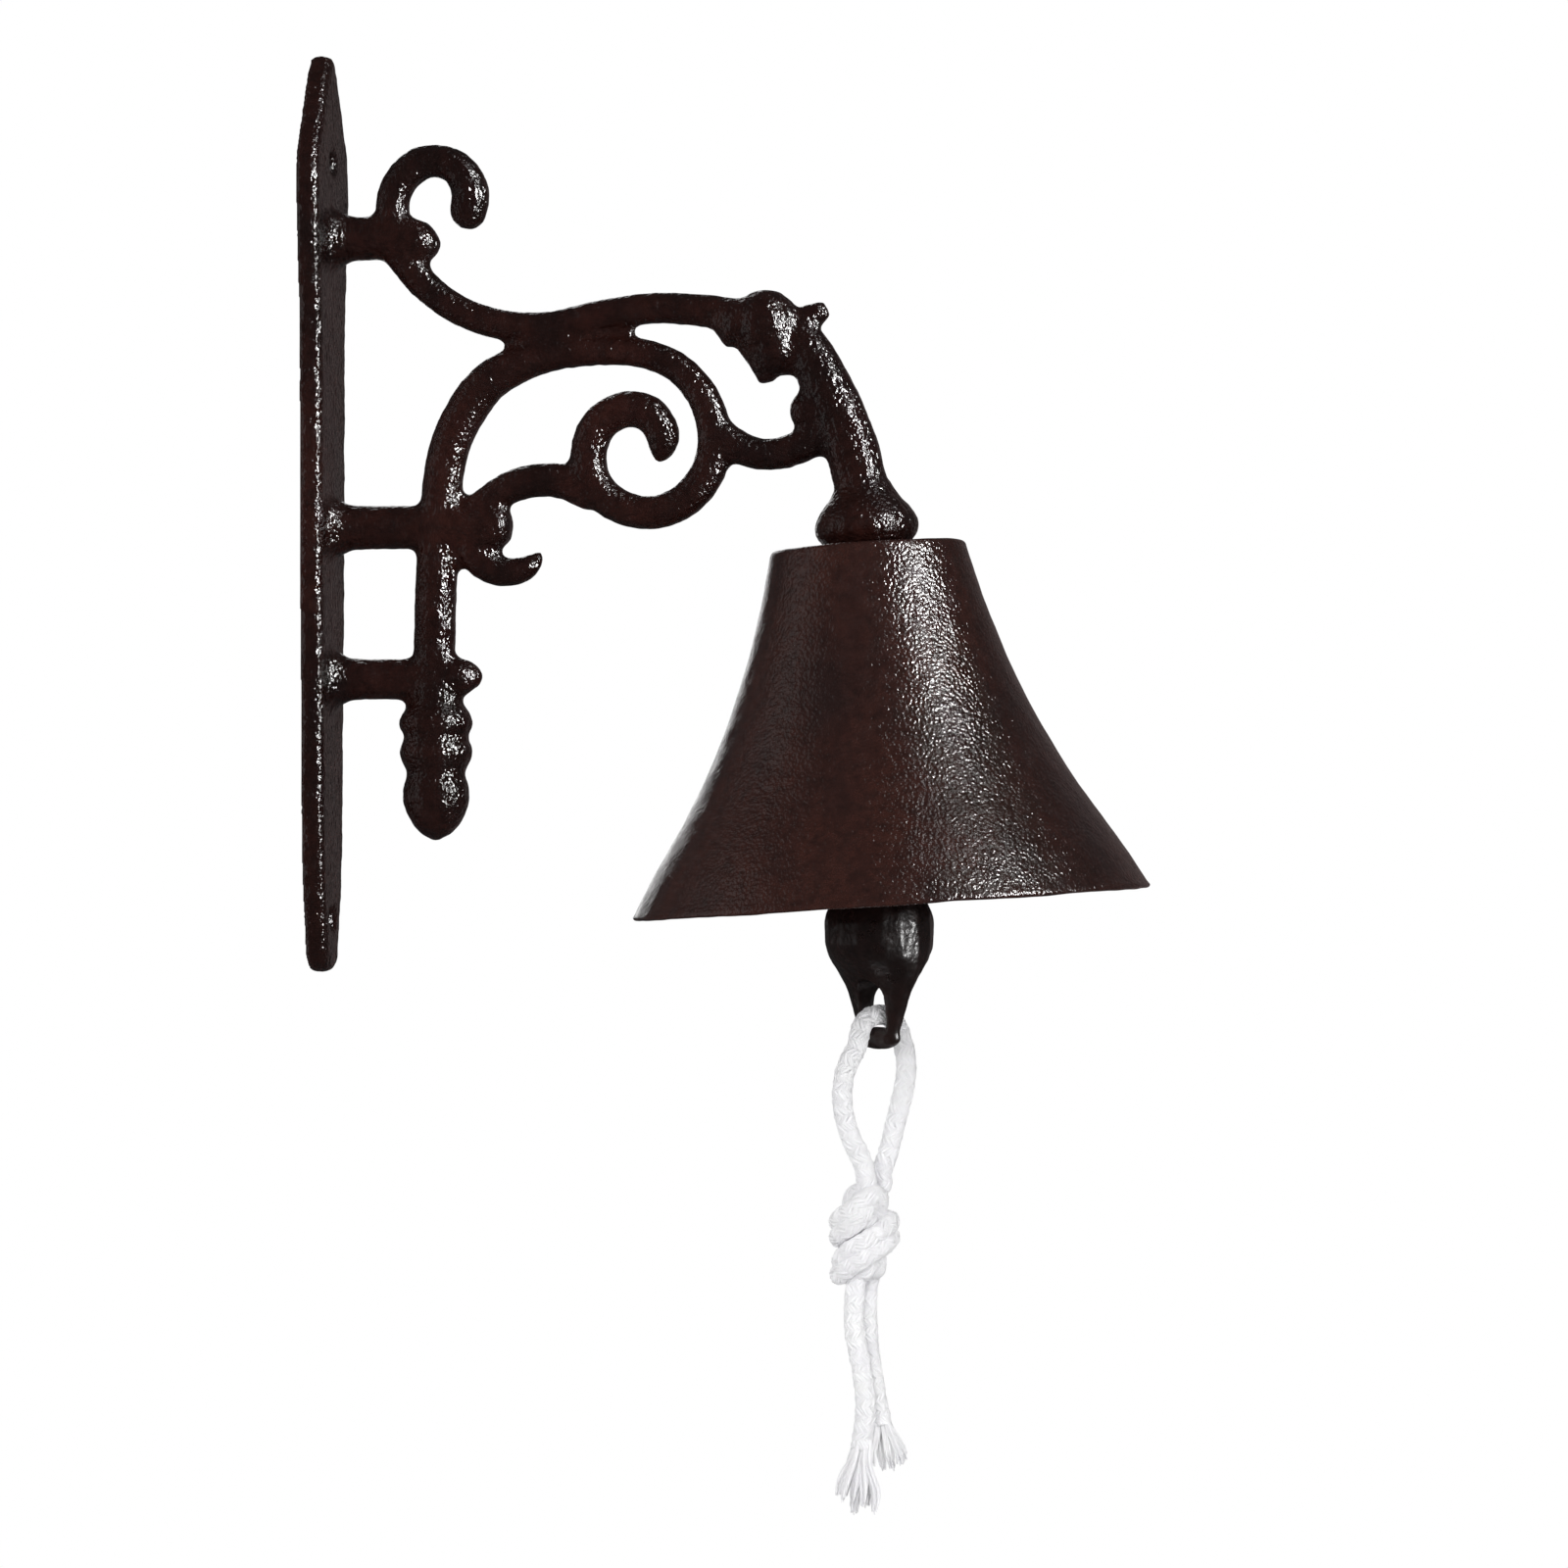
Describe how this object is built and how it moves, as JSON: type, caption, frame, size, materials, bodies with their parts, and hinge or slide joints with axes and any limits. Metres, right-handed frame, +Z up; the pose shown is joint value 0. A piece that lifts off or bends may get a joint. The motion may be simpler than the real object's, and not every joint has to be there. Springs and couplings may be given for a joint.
{
  "type": "wall mounted bell",
  "caption": "Cast iron hand bell on a scrolled wall bracket, with a hanging clapper rung by a knotted white pull cord.",
  "frame": {"origin": "centre of the wall plate's flat back face, at the plate's mid-height", "axes": "+X straight out from the wall towards the bell, +Z up, +Y along the wall"},
  "size_m": [0.2104, 0.1276, 0.3625],
  "materials": {
    "bracket_iron": "dark rust-brown, semi-gloss, sand-cast skin",
    "bell_iron": "dark rust-brown, semi-gloss, fine sand-cast skin",
    "clapper_iron": "dark rust-brown, semi-gloss, sand-cast skin",
    "zinc_steel": "dull zinc plate",
    "spring_steel": "dark oiled spring steel",
    "cotton_cord": "white braided cotton, matte"
  },
  "bodies": {
    "bracket": {"wall_bracket": "bracket_iron", "bell": "bell_iron", "eye_bolt": "zinc_steel", "crown_washer": "zinc_steel", "spring_washer": "spring_steel", "lock_nut": "zinc_steel"},
    "hook": {"clapper_hook": "zinc_steel"},
    "clapper": {"clapper": "clapper_iron"},
    "cord": {"cord_loop": "cotton_cord", "cord_knot": "cotton_cord", "cord_tail_left": "cotton_cord", "cord_tail_right": "cotton_cord"}
  },
  "joints": [
    {"name": "hook_swing", "type": "hinge", "parent": "bracket", "child": "hook", "pos_m": [0.14368, 0, -0.05121], "axis": [0.809, -0.5878, 0], "range_deg": [-38, 42]},
    {"name": "clapper_swing", "type": "hinge", "parent": "hook", "child": "clapper", "pos_m": [0.14368, 0, -0.07121], "axis": [0.5878, 0.809, 0], "range_deg": [-16, 16]},
    {"name": "cord_swing", "type": "hinge", "parent": "clapper", "child": "cord", "pos_m": [0.14368, 0, -0.1305], "axis": [0.809, -0.5878, 0], "range_deg": [-30, 30]}
  ]
}
